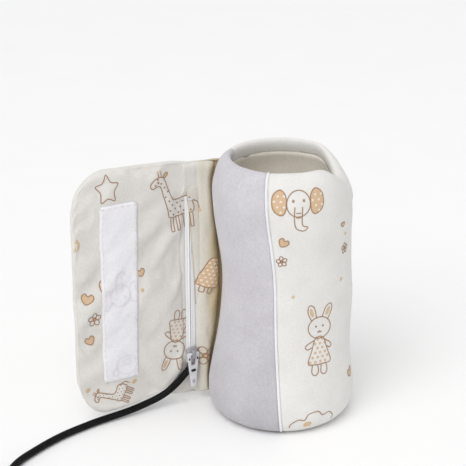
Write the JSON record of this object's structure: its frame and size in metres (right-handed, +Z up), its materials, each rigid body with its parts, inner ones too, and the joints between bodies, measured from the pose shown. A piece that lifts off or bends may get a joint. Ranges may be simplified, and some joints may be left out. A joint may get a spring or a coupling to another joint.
{
  "type": "bottle warmer",
  "caption": "Padded heated fabric sleeve for a baby bottle, with a wrap-round flap, hook strip, zipped cable pocket and coiled supply cable.",
  "frame": {"origin": "centre of the sleeve's flat base, on the surface that it stands on", "axes": "+Z up along the sleeve's axis; -Y is the front, with the seam; the flap opens towards -X"},
  "size_m": [0.169, 0.192, 0.136],
  "materials": {
    "cream_print_fabric": "smooth printed polyester, satin-matt",
    "loop_plush": "short white loop pile, matt",
    "wadding": "white polyester wadding",
    "heating_film": "amber film",
    "heating_wire": "copper wire",
    "hook_tape": "translucent white nylon hooks",
    "zip_tape": "white woven zip tape",
    "zip_nylon": "white nylon",
    "zip_metal": "white enamelled metal",
    "black_cable": "black PVC, satin",
    "black_plastic": "black moulded plastic",
    "plug_metal": "bright nickel plate",
    "white_plastic": "white plastic",
    "gold_contact": "gold plate"
  },
  "bodies": {
    "sleeve": {"outer_cover": "cream_print_fabric", "loop_panel": "loop_plush", "front_seam": "cream_print_fabric", "sleeve_wadding": "wadding", "heating_film": "heating_film", "heating_wire": "heating_wire", "lining": "cream_print_fabric", "top_hem": "cream_print_fabric", "base_cover": "cream_print_fabric", "base_wadding": "wadding", "thermostat": "black_plastic", "base_lining": "cream_print_fabric", "fold_web": "cream_print_fabric"},
    "flap_near": {"flap_outer_cover_1": "cream_print_fabric", "flap_wadding_1": "wadding", "flap_inner_cover_1": "cream_print_fabric", "zip_tape_left": "zip_tape", "zip_tape_right": "zip_tape", "zip_coil_left": "zip_nylon", "zip_coil_right": "zip_nylon", "zip_top_stop": "zip_metal", "zip_bottom_stop": "zip_metal", "cable_gland": "black_plastic", "usb_cable": "black_cable", "usb_cable_tail": "black_cable", "cable_coil": "black_cable", "cable_tie": "black_plastic", "plug_relief": "black_plastic", "plug_grip": "black_plastic", "plug_shell": "plug_metal", "plug_tongue": "white_plastic", "plug_contact_1": "gold_contact", "plug_contact_2": "gold_contact", "plug_contact_3": "gold_contact", "plug_contact_4": "gold_contact"},
    "flap_middle": {"flap_outer_cover_2": "cream_print_fabric", "flap_wadding_2": "wadding", "flap_inner_cover_2": "cream_print_fabric"},
    "flap_end": {"flap_outer_cover_3": "cream_print_fabric", "flap_wadding_3": "wadding", "flap_inner_cover_3": "cream_print_fabric", "hook_strip": "hook_tape"},
    "slider": {"zip_slider": "zip_metal"},
    "puller": {"zip_puller": "zip_metal"}
  },
  "joints": [
    {"name": "flap_fold", "type": "hinge", "parent": "sleeve", "child": "flap_near", "pos_m": [-0.0423, 0.0084, 0], "axis": [0, 0, 1], "range_deg": [-45, 57.5]},
    {"name": "flap_curl_1", "type": "hinge", "parent": "flap_near", "child": "flap_middle", "pos_m": [-0.05797, -0.00046, 0], "axis": [0, 0, 1], "range_deg": [-22, 28.3]},
    {"name": "flap_curl_2", "type": "hinge", "parent": "flap_middle", "child": "flap_end", "pos_m": [-0.07276, -0.00884, 0], "axis": [0, 0, 1], "range_deg": [-25, 31.5]},
    {"name": "zip_slide", "type": "slide", "parent": "flap_near", "child": "slider", "axis": [0, 0, 1], "range_m": [0, 0.079]},
    {"name": "puller_swing", "type": "hinge", "parent": "slider", "child": "puller", "pos_m": [-0.04473, 0.00214, 0.0276], "axis": [0.8704, 0.4924, 0], "range_deg": [-150, 0]}
  ]
}
